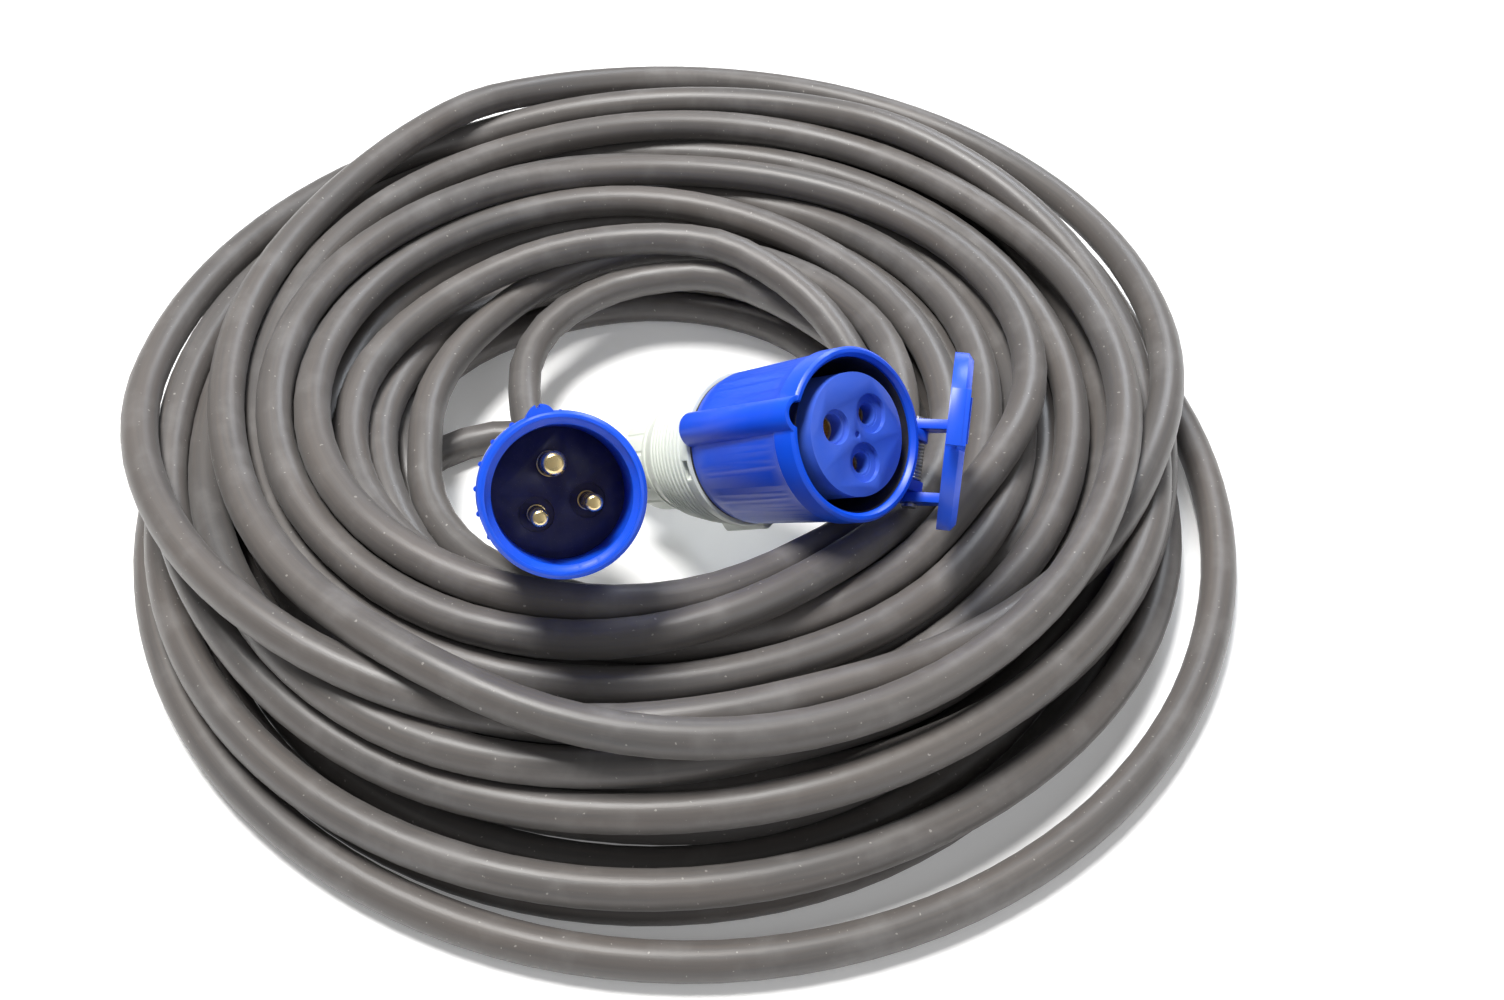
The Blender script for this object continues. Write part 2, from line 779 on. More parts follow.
def tube(name: str, path: np.ndarray, radius: np.ndarray | float, sides: int) -> bpy.types.Object:
    """Sweeps a round section along a path, closed at both ends, with a UV map in metres.

    Args:
        name: Name of the new piece.
        path: Points of the centre line.
        radius: Radius at every point, or one for all.
        sides: Number of sides.

    Returns:
        The piece.
    """
    count = len(path)
    radii = np.full(count, radius) if np.isscalar(radius) else np.asarray(radius, float)
    along = np.gradient(path, axis=0)
    along /= np.linalg.norm(along, axis=1)[:, None]
    side = np.cross(along[0], (0.0, 0.0, 1.0))
    if np.linalg.norm(side) < 1e-6:
        side = np.array((1.0, 0.0, 0.0))
    sides_at = np.empty_like(path)
    for index in range(count):
        side = side - along[index] * (side @ along[index])
        side /= np.linalg.norm(side)
        sides_at[index] = side
    ups_at = np.cross(along, sides_at)
    turn = np.linspace(0, 2 * math.pi, sides, endpoint=False)
    ring = (np.cos(turn)[None, :, None] * sides_at[:, None, :] + np.sin(turn)[None, :, None] * ups_at[:, None, :])
    points = path[:, None, :] + radii[:, None, None] * ring
    vertices = np.vstack([points.reshape(-1, 3), path[:1], path[-1:]])
    rows, steps = np.meshgrid(np.arange(count - 1), np.arange(sides), indexing="ij")
    nexts = (steps + 1) % sides
    quads = np.stack([rows * sides + steps, rows * sides + nexts,
                      (rows + 1) * sides + nexts, (rows + 1) * sides + steps], -1)
    faces: list[tuple[int, ...]] = [tuple(quad) for quad in quads.reshape(-1, 4).tolist()]
    first, last, base = count * sides, count * sides + 1, (count - 1) * sides
    for step in range(sides):
        following = (step + 1) % sides
        faces.append((first, following, step))
        faces.append((last, base + step, base + following))
    mesh = bpy.data.meshes.new(name)
    mesh.from_pydata(vertices.tolist(), [], faces)
    length = np.concatenate([[0.0], np.cumsum(np.linalg.norm(np.diff(path, axis=0), axis=1))])
    girth = 2 * math.pi * radii.mean() / sides
    steps_f, rows_f = steps.reshape(-1), rows.reshape(-1)
    corners = np.empty((len(quads.reshape(-1, 4)), 4, 2))
    for corner, (over, further) in enumerate(((0, 0), (1, 0), (1, 1), (0, 1))):
        corners[:, corner, 0] = (steps_f + over) * girth
        corners[:, corner, 1] = length[rows_f + further]
    caps = np.zeros((sides * 6, 2))
    layer = mesh.uv_layers.new(name="jacket_map")
    layer.data.foreach_set("uv", np.concatenate([corners.reshape(-1, 2), caps]).astype(np.float32).reshape(-1))
    mesh.update()
    piece = bpy.data.objects.new(name, mesh)
    bpy.context.scene.collection.objects.link(piece)
    return Bench.smooth(piece, 60.0)


def catmull(points: np.ndarray, steps: int) -> np.ndarray:
    """Draws a smooth line through points.

    Args:
        points: The points to pass.
        steps: Steps from each point to the next.

    Returns:
        The line's points.
    """
    last = len(points) - 1
    line = []
    for index in range(last):
        before, here = points[max(0, index - 1)], points[index]
        there, after = points[index + 1], points[min(last, index + 2)]
        for step in range(steps):
            u = step / steps
            line.append(0.5 * (2 * here + (there - before) * u + (2 * before - 5 * here + 4 * there - after) * u * u
                               + (3 * here - before - 3 * there + after) * u ** 3))
    line.append(points[last])
    return np.array(line)


def respaced(path: np.ndarray, step: float) -> np.ndarray:
    """Spaces a line's points evenly, about one step apart.

    Args:
        path: The line's points.
        step: Distance wanted between points.

    Returns:
        The new points.
    """
    reach = np.concatenate([[0.0], np.cumsum(np.linalg.norm(np.diff(path, axis=0), axis=1))])
    wanted = np.linspace(0, reach[-1], max(2, int(round(reach[-1] / step)) + 1))
    return np.column_stack([np.interp(wanted, reach, path[:, k]) for k in range(3)])


# ---------------------------------------------------------------- where the ends are


@dataclass(frozen=True)
class EndPlace:
    """Where one end of the cord is: the middle of its rim and the way that it points."""

    face: Point
    heading: float
    elevation: float
    roll: float

    @property
    def axis(self) -> np.ndarray:
        """Direction out of the rim."""
        head, lift = math.radians(self.heading), math.radians(self.elevation)
        return np.array([math.cos(head) * math.cos(lift), math.sin(head) * math.cos(lift), math.sin(lift)])

    @property
    def matrix(self) -> Matrix:
        """Places a piece modelled about the origin, local Z along the axis, in metres."""
        turns = ((self.heading, "Z"), (90 - self.elevation, "Y"), (self.roll, "Z"))
        head, tilt, roll = (Matrix.Rotation(math.radians(angle), 4, axis) for angle, axis in turns)
        return Matrix.Translation(self.face) @ head @ tilt @ roll

    def at(self, x_mm: float, y_mm: float, z_mm: float) -> np.ndarray:
        """Gives the place in the frame of a local point in millimetres."""
        return np.array(self.matrix @ Vector((x_mm * MM, y_mm * MM, z_mm * MM)))

    def behind(self, distance_mm: float) -> np.ndarray:
        """Gives the point on the axis that far behind the rim."""
        return np.array(self.face) - self.axis * distance_mm * MM

    @property
    def down_angle(self) -> float:
        """Local angle in degrees of the side that faces the floor."""
        local = self.matrix.to_3x3().transposed() @ Vector((0, 0, -1))
        return math.degrees(math.atan2(local.y, local.x))


PLUG_PLACE = EndPlace((-0.023, -0.1032, 0.1045), -76.7, 45.5, 96.0)
CONNECTOR_PLACE = EndPlace((0.059, -0.0595, 0.0835), -36.4, 37.0, 131.0)
HINGE_OFFSET_MM = 33.0
HINGE_DROP_MM = 9.0
LID_OPEN = 44.0
LID_LIMIT = 36.0
PLUG_MOUTH_MM = 83.0
CONNECTOR_MOUTH_MM = 89.0


# ---------------------------------------------------------------- the cable


@dataclass
class CoiledCable:
    """25 m of rubber cable thrown down in a loose coil, from the connector to the plug."""

    diameter: float = 0.0118
    length: float = 25.0
    centre: tuple[float, float] = (-0.0065, -0.0095)
    start_angle: float = 197.0
    end_angle: float = 97.0
    start_radius: float = 0.097
    end_radius: float = 0.088
    end_height: float = 0.0272
    whole_turns: int = 29
    points_per_turn: int = 36
    rounds: int = 520
    quick_rounds: int = 160
    sides: int = 18
    spacing: float = 0.0105
    inner_radius: float = 0.088
    pile_width: float = 0.095
    top_turns: float = 8.6
    first_radii: Stops = ((0, 97), (5.3, 166), (6.6, 168), (7.5, 167), (13.3, 95), (14.1, 92))
    top_radii: Stops = ((-0.8, 164), (0, 168), (1.2, 163), (2.4, 148), (3.4, 134), (4.4, 119), (5.4, 107), (6.3, 97),
                        (7.2, 91))
    last_radii: Stops = ((-0.6, 94), (0, 88))
    first_heights: Stops = ((0, 5.9), (5.5, 5.9), (5.8, 18), (6.8, 18), (7.05, 5.9), (7.5, 5.9), (7.75, 19), (14.0, 19),
                            (14.5, 33))
    top_heights: Stops = ((-0.3, 33), (0.2, 47))
    last_heights: Stops = ((-0.7, 62), (-0.35, 50), (0, 27.2))
    wander_waves: Stops = ((0.29, 3.0), (0.53, 2.6), (0.87, 2.4), (1.37, 1.6), (2.2, 1.0))
    sway_waves: Stops = ((0.41, 5.0), (0.77, 4.0))
    plug_route: tuple[Point, ...] = (
        (-0.0465, -0.0115, 0.0200), (-0.0505, 0.0045, 0.0180), (-0.0545, 0.0225, 0.0194),
        (-0.0545, 0.0425, 0.0218), (-0.0455, 0.0600, 0.0244), (-0.0310, 0.0718, 0.0262))
    connector_route: tuple[Point, ...] = (
        (-0.0265, 0.0035, 0.0096), (-0.0435, 0.0135, 0.0064), (-0.0625, 0.0165, 0.0059),
        (-0.0805, 0.0105, 0.0059), (-0.0935, -0.0015, 0.0059), (-0.1005, -0.0185, 0.0059))
    path: np.ndarray = field(default_factory=lambda: np.zeros((0, 3)))

    @property
    def turns(self) -> float:
        """Turns from the start of the coil to its end."""
        return self.whole_turns + (360 + self.end_angle - self.start_angle) / 360

    def ring_point(self, radius: float, angle: float, height: float) -> np.ndarray:
        """Gives a point of the coil.

        Args:
            radius: Distance from the coil's middle.
            angle: Angle in degrees.
            height: Height over the floor.

        Returns:
            The point.
        """
        sway = 0.014 * (radius - self.inner_radius) / self.pile_width
        return np.array([self.centre[0] + radius * math.cos(math.radians(angle)),
                         self.centre[1] + radius * math.sin(math.radians(angle)) + sway, height])

    def plan(self, draw: np.random.Generator) -> np.ndarray:
        """Lays the turns out before they settle: four rough layers with drifting radii.

        Args:
            draw: Seeded source of the phases.

        Returns:
            The planned points.
        """
        count = int(round(self.turns * self.points_per_turn)) + 1
        turn = np.linspace(0, self.turns, count)
        top = self.turns - self.top_turns
        radius = self._read(turn, self.first_radii, self.top_radii, self.last_radii)
        window = np.hanning(25) / np.hanning(25).sum()
        radius = np.convolve(np.pad(radius, 12, mode="edge"), window, mode="valid")
        fade = self._ease(turn / 0.5) * self._ease((self.turns - turn) / 0.5)
        upper = self._ease((turn - top + 0.3) / 1.0)
        lowest = self._ease((turn - 7.3) / 1.6)
        wander = np.zeros(count)
        for rate, size in self.wander_waves:
            wander += size * np.sin(2 * math.pi * (rate * turn + draw.random()))
        radius += wander * MM * fade * (0.16 + 0.84 * lowest + 0.7 * upper)
        outward = (radius - self.inner_radius) / self.pile_width
        inward = np.clip(1 - outward, 0, 1)
        share = 0.12 + 0.88 * self._ease((turn - 6.2) / 1.6)
        along = (0.010 * outward - 0.006 * inward) * fade * share
        across = (0.014 * outward * share
                  + (0.014 * outward + 0.004 * inward + 0.006 * upper * outward) * fade * share)
        across += 0.005 * self._ease(turn / 5) * fade
        for rate, size in self.sway_waves:
            sway = size * MM * (0.06 + 0.3 * lowest + 1.3 * upper * np.clip(0.3 + outward, 0, 1)) * fade
            along += sway * np.sin(2 * math.pi * (rate * turn + draw.random()))
            across += sway * np.sin(2 * math.pi * (rate * turn + draw.random()))
        loose = np.sin(math.pi * np.clip((turn - 6.95) / 0.58, 0, 1) ** 1.15)
        radius += 0.034 * loose
        along += 0.006 * loose
        radius = np.clip(radius, 0.0875, None)
        angle = np.radians(self.start_angle + 360 * turn)
        height = self._read(turn, self.first_heights, self.top_heights, self.last_heights)
        points = np.column_stack([
            self.centre[0] + radius * np.cos(angle) + along,
            self.centre[1] + radius * np.sin(angle) * (1 + 0.012 * outward * fade) + across, height])
        points[0] = self.ring_point(self.start_radius, self.start_angle, self.diameter / 2)
        points[-1] = self.ring_point(self.end_radius, self.end_angle, self.end_height)
        return points

    def _read(self, turn: np.ndarray, first: Stops, top: Stops, last: Stops) -> np.ndarray:
        """Reads a size in metres off stops in millimetres.

        Args:
            turn: Where to read it, in turns from the start.
            first: Stops in turns from the start.
            top: Stops in turns from the start of the top layer.
            last: Stops in turns from the end.

        Returns:
            The size at each place.
        """
        base = self.turns - self.top_turns
        stops = [*first, *((base + after, size) for after, size in top),
                 *((self.turns + after, size) for after, size in last)]
        return np.interp(turn, [stop[0] for stop in stops], [stop[1] for stop in stops]) * MM

    @staticmethod
    def _ease(value: np.ndarray) -> np.ndarray:
        """Goes smoothly from 0 to 1 as the value does."""
        held = np.clip(value, 0, 1)
        return held * held * (3 - 2 * held)

    def leads(self) -> tuple[np.ndarray, np.ndarray]:
        """Lays the leads from their mouths to the coil.

        Returns:
            The connector's line and the plug's, both in the cable's own order.
        """
        start = self.ring_point(self.start_radius, self.start_angle, self.diameter / 2)
        end = self.ring_point(self.end_radius, self.end_angle, self.end_height)
        lines = []
        for place, mouth, route, last in ((CONNECTOR_PLACE, CONNECTOR_MOUTH_MM, self.connector_route, start),
                                          (PLUG_PLACE, PLUG_MOUTH_MM, self.plug_route, end)):
            straight = [place.behind(mouth + step) for step in (0, 12, 22)]
            lines.append(respaced(catmull(np.array([*straight, *map(np.array, route), last]), 8), 0.012))
        return lines[0][:-1], lines[1][::-1][1:]

    @staticmethod
    def blockers() -> list[Rod]:
        """Gives rounded rods that the turns keep clear of: both ends and the lid as it swings.

        Returns:
            Both ends and the radius of each rod.
        """
        rods = []
        for place, front, rear in ((PLUG_PLACE, 24.6, 21.5), (CONNECTOR_PLACE, 27.5, 22.0)):
            rods.append((place.behind(0), place.behind(50), front * MM))
            rods.append((place.behind(50), place.behind(80), rear * MM))
        hinge = Vector((0.0, -HINGE_OFFSET_MM, -HINGE_DROP_MM))
        for swing in (LID_OPEN, LID_OPEN + LID_LIMIT / 2, LID_OPEN + LID_LIMIT):
            turn = Matrix.Rotation(math.radians(swing), 3, "X")
            for reach in range(8, 64, 7):
                half = math.sqrt(max(0.0, 26.0 ** 2 - (min(reach, 59) - 33) ** 2)) if reach < 60 else 6.0
                ends = [hinge + turn @ Vector((side * half, reach, HINGE_DROP_MM + 3.4)) for side in (-1, 1)]
                rods.append((CONNECTOR_PLACE.at(*ends[0]), CONNECTOR_PLACE.at(*ends[1]), 0.0048))
            for side in (-1, 1):
                arm = [CONNECTOR_PLACE.at(*(hinge + turn @ Vector((side * 11.0, *joint))))
                       for joint in ((-0.5, 0.0), (1.5, 11.5), (9.0, 12.6))]
                rods += [(arm[0], arm[1], 0.0048), (arm[1], arm[2], 0.0068)]
        for side in (-1, 1):
            rods.append((CONNECTOR_PLACE.at(side * 11, -33, -9), CONNECTOR_PLACE.at(side * 11, -27, -9), 0.0045))
        return rods

    @staticmethod
    def _closest(a: np.ndarray, b: np.ndarray, c: np.ndarray, d: np.ndarray) -> tuple[np.ndarray, np.ndarray]:
        """Finds where pairs of short lengths come closest.

        Args:
            a: Starts of the first lengths.
            b: Ends of the first lengths.
            c: Starts of the second lengths.
            d: Ends of the second lengths.

        Returns:
            The share along the first and along the second length.
        """
        first, second, apart = b - a, d - c, a - c
        aa, ee, ff = (first * first).sum(1), (second * second).sum(1), (second * apart).sum(1)
        cc, bb = (first * apart).sum(1), (first * second).sum(1)
        spread = aa * ee - bb * bb
        s = np.where(spread > 1e-16, np.clip((bb * ff - cc * ee) / np.where(spread > 1e-16, spread, 1), 0, 1), 0.5)
        t = (bb * s + ff) / ee
        held = np.clip(t, 0, 1)
        return np.where(t != held, np.clip((bb * held - cc) / aa, 0, 1), s), held

    @staticmethod
    def _near(points: np.ndarray, reach: float) -> tuple[np.ndarray, np.ndarray]:
        """Lists the pairs of lengths that may touch.

        Args:
            points: The cable's points.
            reach: Distance between middles below which a pair counts.

        Returns:
            The numbers of the first and of the second length of each pair.
        """
        middle = (points[1:] + points[:-1]) / 2
        size = np.linalg.norm(points[1:] - points[:-1], axis=1)
        apart = ((middle[:, None, :] - middle[None, :, :]) ** 2).sum(-1)
        first, second = np.nonzero(apart < ((size[:, None] + size[None, :]) / 2 + reach) ** 2)
        wanted = second - first > 6
        return first[wanted], second[wanted]

    def settle(self) -> np.ndarray:
        """Lets the planned turns sink under their weight until they lie on each other.

        Returns:
            The settled points, leads included.
        """
        draw = np.random.default_rng(7)
        turns = self.plan(draw)
        lead_in, lead_out = self.leads()
        points = np.vstack([lead_in, turns, lead_out])
        free = np.ones(len(points))
        free[:len(lead_in) + 3] = 0
        free[len(lead_in) + len(turns) - 3:] = 0
        wanted, loose = points.copy(), free[:, None]
        rods = self.blockers()
        rounds = self.rounds
        gap = self.diameter + 0.00015
        for step in range(rounds):
            if step % 8 == 0:
                first, second = self._near(points, self.diameter + 0.006)
            share = step / rounds
            points[:, 2] -= (0.00055 * (1 - share) ** 0.7 if share < 0.85 else 0.0) * free
            moved = points - wanted
            bend = np.zeros_like(moved)
            bend[1:-1] = (moved[:-2] + moved[2:]) / 2 - moved[1:-1]
            points += 0.35 * bend * loose
            points[:, :2] -= 0.02 * (points - wanted)[:, :2] * loose
            for _ in range(3):
                self._part(points, free, first, second, gap)
                points[:, 2] = np.where(free > 0, np.maximum(points[:, 2], self.diameter / 2), points[:, 2])
            for start, end, radius in rods:
                line = end - start
                share_on = np.clip(((points - start) @ line) / (line @ line), 0, 1)
                away = points - (start + share_on[:, None] * line)
                far = np.linalg.norm(away, axis=1) + 1e-9
                push = np.clip(radius + self.diameter / 2 + 0.0003 - far, 0, None) * free
                points += away / far[:, None] * push[:, None]
        return points

    def _part(self, points: np.ndarray, free: np.ndarray, first: np.ndarray, second: np.ndarray, gap: float) -> None:
        """Moves apart the lengths that lie closer than the gap.

        Args:
            points: The cable's points, which are moved.
            free: 1 where a point may move, 0 where it is held.
            first: First length of each near pair.
            second: Second length of each near pair.
            gap: Least distance between centre lines.
        """
        s, t = self._closest(points[first], points[first + 1], points[second], points[second + 1])
        here = points[first] + s[:, None] * (points[first + 1] - points[first])
        there = points[second] + t[:, None] * (points[second + 1] - points[second])
        apart = here - there
        far = np.linalg.norm(apart, axis=1) + 1e-12
        close = far < gap
        i, j, s, t = first[close], second[close], s[close], t[close]
        way, lack = apart[close] / far[close][:, None], gap - far[close]
        weight = (1 - s) ** 2 * free[i] + s ** 2 * free[i + 1] + (1 - t) ** 2 * free[j] + t ** 2 * free[j + 1] + 1e-6
        push = (0.55 * lack / weight)[:, None] * way
        np.add.at(points, i, push * ((1 - s) * free[i])[:, None])
        np.add.at(points, i + 1, push * (s * free[i + 1])[:, None])
        np.add.at(points, j, -push * ((1 - t) * free[j])[:, None])
        np.add.at(points, j + 1, -push * (t * free[j + 1])[:, None])

    def build(self) -> bpy.types.Object:
        """Makes the cable's mesh along its settled line.

        Returns:
            The cable.
        """
        settled = self.settle()
        self.path = respaced(catmull(settled, 4), self.spacing)
        reach = float(np.linalg.norm(np.diff(self.path, axis=0), axis=1).sum())
        piece = tube("rubber_cable", self.path, self.diameter / 2, self.sides)
        piece.data.materials.append(JACKET.material())
        low, high = self.path.min(0) / MM, self.path.max(0) / MM
        log.info("rubber_cable: %.2f m along its line, from %s to %s mm", reach, low.round(1), high.round(1))
        return piece

    def declare(self, piece: bpy.types.Object) -> None:
        """Says that the piece is the cord, what it replaces and what is on its far end.

        Args:
            piece: The cable.
        """
        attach(piece, Body.CORD_SET.value)
        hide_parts("cord_coil", "plug_lead", "connector_lead")

    def strain_relief(self, name: str, reverse: bool) -> bpy.types.Object:
        """Makes the tapered sleeve where the cable leaves a nut, with rings that let it bend.

        Args:
            name: Name of the piece.
            reverse: Whether it sits at the cable's far end.

        Returns:
            The sleeve.
        """
        line = self.path[::-1] if reverse else self.path
        fine = respaced(catmull(line[:8], 12), 0.0005)
        reach = np.concatenate([[0.0], np.cumsum(np.linalg.norm(np.diff(fine, axis=0), axis=1))])
        start, length, wide, taper, ring_count, ring_height = 0.0084, 0.03, 0.0099, 0.0034, 7, 0.00035
        span = (reach > start) & (reach < start + length)
        share = (reach[span] - start) / length
        radius = wide - taper * share ** 0.8
        rings = np.clip(np.sin(share * 2 * math.pi * ring_count - 1.2) * 2.2, -1, 1)
        radius += ring_height * rings * np.where((share > 0.08) & (share < 0.93), 1, 0)
        piece = tube(name, fine[span], radius, 40)
        piece.data.materials.append(RELIEF_RUBBER.material())
        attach(piece, Body.CORD_SET.value)
        log.info("%s: tapered sleeve, %.0f mm", name, length / MM)
        return piece


# ---------------------------------------------------------------- both ends


@dataclass
class CordEnd:
    """What the plug and the connector share: how their pieces are made, dressed and placed."""

    place: EndPlace
    made: list[bpy.types.Object] = field(default_factory=list)

    def keep(self, piece: bpy.types.Object, finish: Finish, slot: Slot, body: Body = Body.CORD_SET,
             replaces: Sequence[str] = ()) -> bpy.types.Object:
        """Dresses a piece and lets it ride.

        Args:
            piece: The finished mesh, in its place.
            finish: What it is finished with.
            slot: The record's material slot.
            body: The body that it rides on.
            replaces: CAD nodes that it stands for.

        Returns:
            The piece.
        """
        piece.data.materials.clear()
        piece.data.materials.append(finish.material())
        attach(piece, body.value)
        if replaces:
            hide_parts(*replaces)
        self.made.append(piece)
        log.info("%s: %s, %d faces", piece.name, finish.name, len(piece.data.polygons))
        return piece

    def refine(self, node: str, name: str, rounding: float, finish: Finish, slot: Slot,
               body: Body = Body.CORD_SET) -> bpy.types.Object:
        """Replaces a CAD node by a copy of it with rounded edges.

        Args:
            node: The CAD node.
            name: Name of the new piece.
            rounding: Width of the rounding in millimetres.
            finish: What it is finished with.
            slot: The record's material slot.
            body: The body that it rides on.

        Returns:
            The new piece.
        """
        return self.keep(Bench.refined(node, name, rounding), finish, slot, body, (node,))

    def put(self, piece: bpy.types.Object, turn: float = 0.0) -> bpy.types.Object:
        """Moves a mesh modelled about the origin to this end, turned about its axis first.

        Args:
            piece: The mesh.
            turn: Degrees about the local axis.

        Returns:
            The piece.
        """
        piece.data.transform(self.place.matrix @ Matrix.Rotation(math.radians(turn), 4, "Z"))
        piece.data.update()
        return Bench.smooth(piece, 32.0)

    @staticmethod
    def ring_places(front_radius: float, length: float, count: int) -> list[tuple[float, float]]:
        """Spaces rings along a rear housing, each as wide as the housing is there.

        Args:
            front_radius: Radius of the housing at its front in millimetres.
            length: Length of the housing in millimetres.
            count: Number of rings.

        Returns:
            Height and radius in millimetres of each ring.
        """
        depths = (3.8, 0.4 * length, 0.72 * length, 0.88 * length)
        radii = (front_radius - 0.6, front_radius - 1.6, 20.7, 18.6)
        steps = np.linspace(5.4, 0.7 * length, count)
        return [(-51.2 - float(depth), float(np.interp(depth, depths, radii)) - 0.1) for depth in steps]

    def ribs(self, name: str, rings: Sequence[tuple[float, float]]) -> bpy.types.Object:
        """Makes the fine rings round a rear housing: one is modelled and scaled for each.

        Args:
            name: Name of the piece.
            rings: Height and radius in millimetres of each ring.

        Returns:
            The rings as one piece.
        """
        pattern = Bench.turned(name, [(19.0, -0.55), (20.1, -0.5), (20.42, -0.3), (20.5, 0.0), (20.42, 0.3),
                                      (20.1, 0.5), (19.0, 0.55)], 80)
        places = []
        for height, radius in rings:
            share = radius / 20.0
            places.append(Matrix.Translation((0, 0, height * MM)) @ Matrix.Diagonal((share, share, 1, 1)))
        return self.put(Bench.repeated(name, pattern, places))


@dataclass
class Plug(CordEnd):
    """The three-pin plug, whose pins stand in a deep shroud."""

    place: EndPlace = PLUG_PLACE

    def build(self) -> None:
        """Makes every piece of the plug in order."""
        self.refine("plug_shroud", "plug_shell", 0.45, BLUE_SHELL, Slot.BLUE_SHELL)
        self.refine("plug_pin_carrier", "plug_carrier", 0.3, NAVY_INSERT, Slot.NAVY_INSERT)
        for pin in ("earth", "live", "neutral"):
            self.refine(f"plug_{pin}_pin", f"{pin}_pin", 0.35, PALE_BRASS, Slot.BRASS)
        self.refine("plug_rear_housing", "plug_back_shell", 0.4, GREY_HOUSING, Slot.GREY_HOUSING)
        self.refine("plug_gland_nut", "plug_nut", 0.3, GREY_HOUSING, Slot.GREY_HOUSING)
        self.keep(self.ribs("plug_back_rings", self.ring_places(23.7, 27.8, 7)), GREY_HOUSING, Slot.GREY_HOUSING)


@dataclass
class Connector(CordEnd):
    """The matching connector, with its contacts behind a keyed face."""

    place: EndPlace = CONNECTOR_PLACE

    def build(self) -> None:
        """Makes every piece of the connector in order."""
        self.refine("connector_collar", "connector_shell", 0.45, BLUE_SHELL, Slot.BLUE_SHELL)
        self.refine("connector_contact_carrier", "connector_face_insert", 0.35, BLUE_INSERT, Slot.NAVY_INSERT)
        self.refine("connector_rear_housing", "connector_back_shell", 0.4, GREY_HOUSING, Slot.GREY_HOUSING)
        self.refine("connector_gland_nut", "connector_nut", 0.3, GREY_HOUSING, Slot.GREY_HOUSING)
        self.keep(self.ribs("connector_back_rings", self.ring_places(24.6, 33.8, 9)), GREY_HOUSING, Slot.GREY_HOUSING)
        self.keep(self.latch_boss(), GREY_HOUSING, Slot.GREY_HOUSING)
        for contact in ("earth", "live", "neutral"):
            self.refine(f"connector_{contact}_contact", f"{contact}_contact", 0.25, PALE_BRASS, Slot.BRASS)
        self.keep(self.hole_mouths(), BLUE_INSERT, Slot.NAVY_INSERT)
        self.keep(self.slot_liner(), SLOT_SHADE, Slot.NAVY_INSERT)

    def latch_boss(self) -> bpy.types.Object:
        """Makes the boss with a sunk face under the rear housing.

        Returns:
            The boss in its place.
        """
        boss = Bench.block("connector_latch_boss", (9.0, 16.0, 22.0), (22.4, 0.0, -64.5), 1.4)
        Bench.choose(boss, lambda face: face.normal.x > 0.99 and face.area > 1e-5)
        bpy.ops.mesh.inset(thickness=0.0018, depth=0.0)
        bpy.ops.mesh.extrude_region_move(TRANSFORM_OT_translate={"value": (-0.0032, 0, 0)})
        bpy.ops.transform.resize(value=(1, 0.86, 0.9))
        bpy.ops.object.mode_set(mode="OBJECT")
        Bench.done(boss)
        return self.put(boss, self.place.down_angle)

    def hole_mouths(self) -> bpy.types.Object:
        """Makes the moulded ring that narrows each contact hole.

        Returns:
            The three rings as one piece.
        """
        rings = []
        for step, radius in enumerate((3.6, 2.6, 2.6)):
            angle = math.radians(90 - 120 * step)
            outer = radius + 1.32
            ring = Bench.turned(f"hole_mouth_{step}", [
                (radius + 0.4, -6.95), (radius + 0.4, -2.9), (radius + 0.62, -2.4),
                (radius + 0.95, -2.24), (outer, -2.24), (outer, -6.95)], 64)
            ring.data.transform(Matrix.Translation((8.7 * MM * math.cos(angle), 8.7 * MM * math.sin(angle), 0)))
            rings.append(ring)
        return self.put(Bench.join("connector_hole_mouths", rings))

    def slot_liner(self) -> bpy.types.Object:
        """Makes the dark sleeve that lines the foot and wall of the slot round the insert.

        Returns:
            The sleeve.
        """
        return self.put(Bench.turned("connector_slot_liner", [
            (23.22, -34.9), (23.22, -2.3), (23.05, -2.0), (22.88, -2.3), (22.88, -34.5), (18.75, -34.5),
            (18.75, -34.9)], 96))


@dataclass
class Lid(CordEnd):
    """The sprung lid that stands half open over the connector's face."""

    place: EndPlace = CONNECTOR_PLACE

    @property
    def swung(self) -> Matrix:
        """Turns what is modelled on the shut lid to where the lid stands."""
        hinge = Matrix.Translation((0, -HINGE_OFFSET_MM * MM, -HINGE_DROP_MM * MM))
        return hinge @ Matrix.Rotation(math.radians(LID_OPEN), 4, "X") @ hinge.inverted()

    def build(self) -> None:
        """Makes the lid and what is moulded on it."""
        self.refine("connector_lid", "lid_shell", 0.4, BLUE_SHELL, Slot.BLUE_SHELL, Body.LID)
        ridge = Bench.block("lid_tab_ridges", (12.5, 0.9, 0.9), (0.0, 26.6, 5.9), 0.3, 2)
        places = [Matrix.Translation((0, step * 1.5 * MM, 0)) for step in range(-1, 2)]
        ridges = Bench.repeated("lid_tab_ridges", ridge, places)
        ridges.data.transform(self.swung)
        self.keep(self.put(ridges), BLUE_SHELL, Slot.BLUE_SHELL, Body.LID)
        rib = Bench.turned("lid_inner_ring", [(13.0, 1.9), (13.0, 3.6), (14.4, 3.6), (14.4, 1.9), (14.1, 1.6),
                                              (13.3, 1.6)], 72)
        rib.data.transform(self.swung)
        self.keep(self.put(rib), BLUE_SHELL, Slot.BLUE_SHELL, Body.LID)


# ---------------------------------------------------------------- CAD nodes that stay


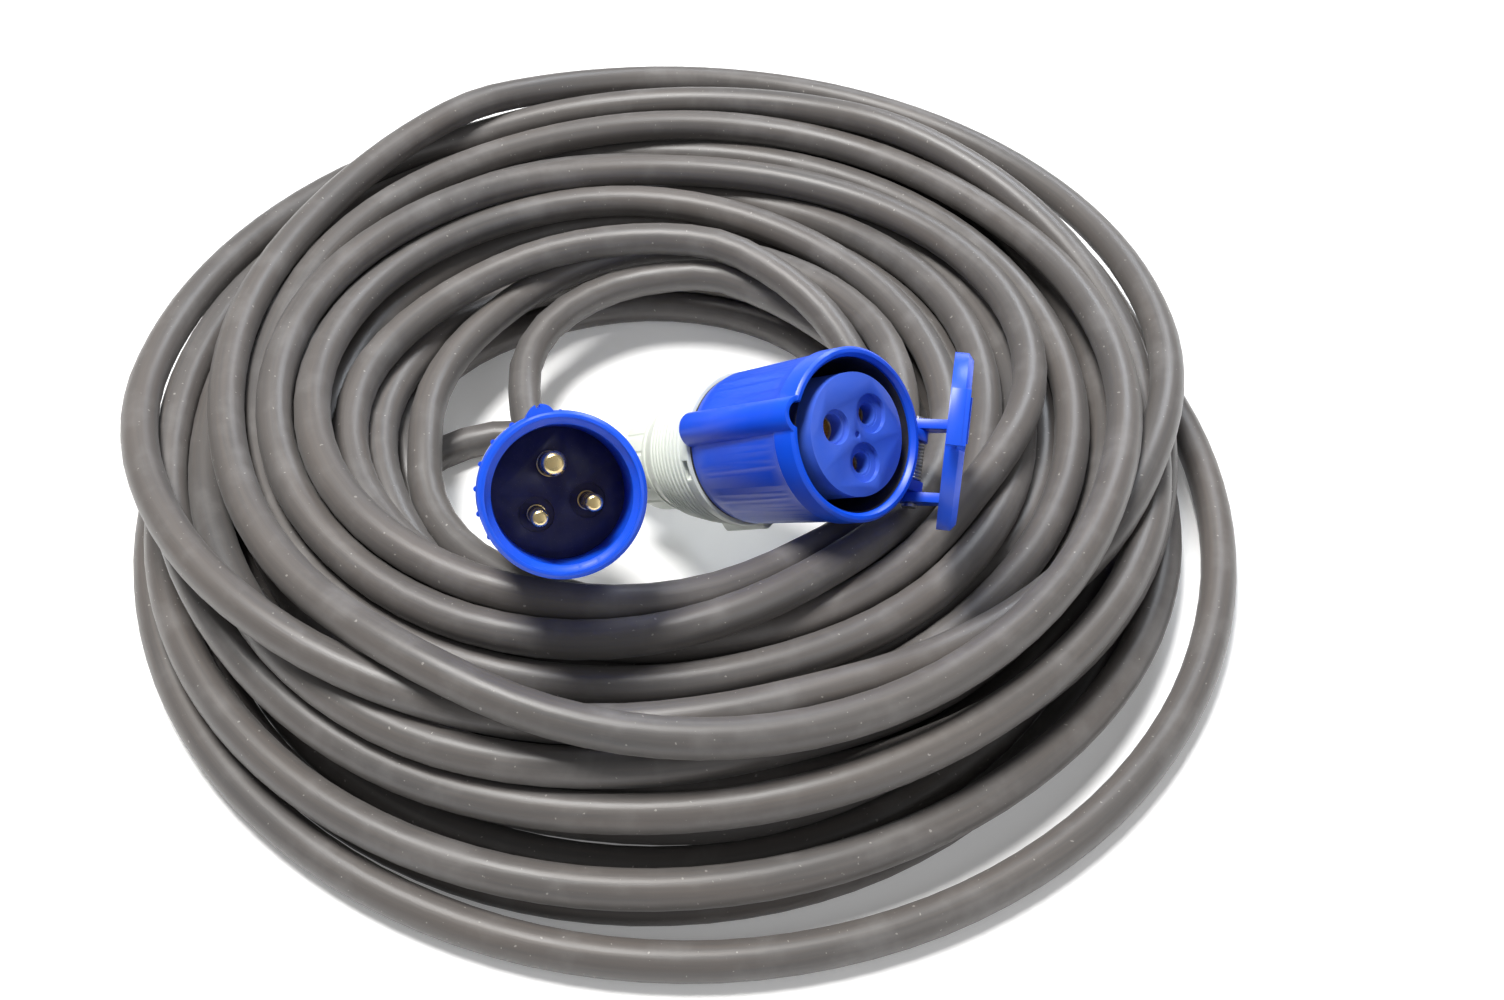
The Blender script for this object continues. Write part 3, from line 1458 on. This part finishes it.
END_FINISHES: dict[str, Finish] = {
    "terminal_screws": BRIGHT_STEEL, "housing_seal": SEAL_RUBBER, "cord_clamp": NAVY_INSERT,
    "clamp_screws": BRIGHT_STEEL, "gland_seal": SEAL_RUBBER, "cable_end": RELIEF_RUBBER,
    "live_core": CORE_BROWN, "neutral_core": CORE_BLUE, "earth_core": CORE_GREEN,
}
CAD_FINISHES: dict[str, Finish] = {
    **{f"{end}_{part}": finish for end in ("plug", "connector") for part, finish in END_FINISHES.items()},
    "lid_gasket": SEAL_RUBBER, "lid_hinge_pin": BRIGHT_STEEL, "lid_spring": BRIGHT_STEEL,
}


def dress_cad_nodes() -> None:
    """Gives every CAD node that stays shown its own finish."""
    for node, finish in CAD_FINISHES.items():
        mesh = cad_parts[node].data
        mesh.materials.clear()
        mesh.materials.append(finish.material())
        log.info("%s: carried over in %s", node, finish.name)


# ---------------------------------------------------------------- studio


@dataclass(frozen=True)
class Studio:
    """Pale floor, soft light and the camera."""

    eye: Point = (0.0275, -0.3895, 0.416)
    pitch: float = 42.4
    lens: float = 37.9
    world_light: float = 0.22

    def camera(self) -> None:
        """Sets the camera up and makes it the scene's own."""
        data = bpy.data.cameras.new("studio_camera")
        data.lens, data.sensor_width, data.sensor_fit = self.lens, 36.0, "HORIZONTAL"
        data.clip_start, data.clip_end = 0.01, 50.0
        camera = bpy.data.objects.new("studio_camera", data)
        camera.location = self.eye
        camera.rotation_euler = (math.radians(self.pitch), 0.0, 0.0)
        bpy.context.scene.collection.objects.link(camera)
        bpy.context.scene.camera = camera

    def floor(self) -> None:
        """Lays a wide pale floor under the coil."""
        Bench.clear()
        bpy.ops.mesh.primitive_plane_add(size=9.0, location=(0, 0, -0.0002))
        floor = bpy.context.active_object
        floor.name = floor.data.name = "studio_floor"
        floor.data.materials.append(PaleFloor().material())

    def light(self) -> None:
        """Hangs soft lamps and sets the world's even light."""
        for name, place, aim, size, power, colour in (
                ("key_lamp", (-0.30, 0.20, 1.5), (0, 0, 0.03), 0.55, 32.0, (1.0, 0.99, 0.97)),
                ("fill_lamp", (0.95, -0.9, 0.9), (0, 0, 0.05), 0.9, 4.0, (0.95, 0.97, 1.0)),
                ("back_lamp", (0.5, 1.2, 1.0), (0, 0, 0.05), 0.6, 11.0, (0.88, 0.93, 1.0))):
            data = bpy.data.lights.new(name, "AREA")
            data.shape, data.size, data.energy, data.color = "DISK", size, power, colour
            lamp = bpy.data.objects.new(name, data)
            lamp.location = place
            lamp.rotation_euler = (Vector(aim) - Vector(place)).to_track_quat("-Z", "Y").to_euler()
            bpy.context.scene.collection.objects.link(lamp)
        world = bpy.data.worlds.new("studio_world")
        bpy.context.scene.world = world
        world.use_nodes = True
        graph = Graph(world.node_tree)
        shade = world.node_tree.nodes["Background"]
        seen = graph.add("LightPath").outputs["Is Camera Ray"]
        strength = graph.plus(self.world_light, graph.times(seen, 1.0 - self.world_light))
        shade.inputs["Color"].default_value = (1.0, 1.0, 1.0, 1.0)
        world.node_tree.links.new(strength, shade.inputs["Strength"])
        bpy.context.scene.view_settings.view_transform = "Standard"


def main() -> None:
    """Builds the cord from its cable outwards and reports each piece."""
    logging.basicConfig(level=logging.INFO, format="%(message)s")
    studio = Studio()
    studio.camera()
    cable = CoiledCable()
    cable_piece = cable.build()
    plug_sleeve = cable.strain_relief("plug_strain_relief", reverse=True)
    cable.strain_relief("connector_strain_relief", reverse=False)
    plug, connector, lid = Plug(), Connector(), Lid()
    plug.build()
    connector.build()
    lid.build()
    dress_cad_nodes()
    cable.declare(cable_piece)
    studio.floor()
    studio.light()


if __name__ == "__main__":
    main()
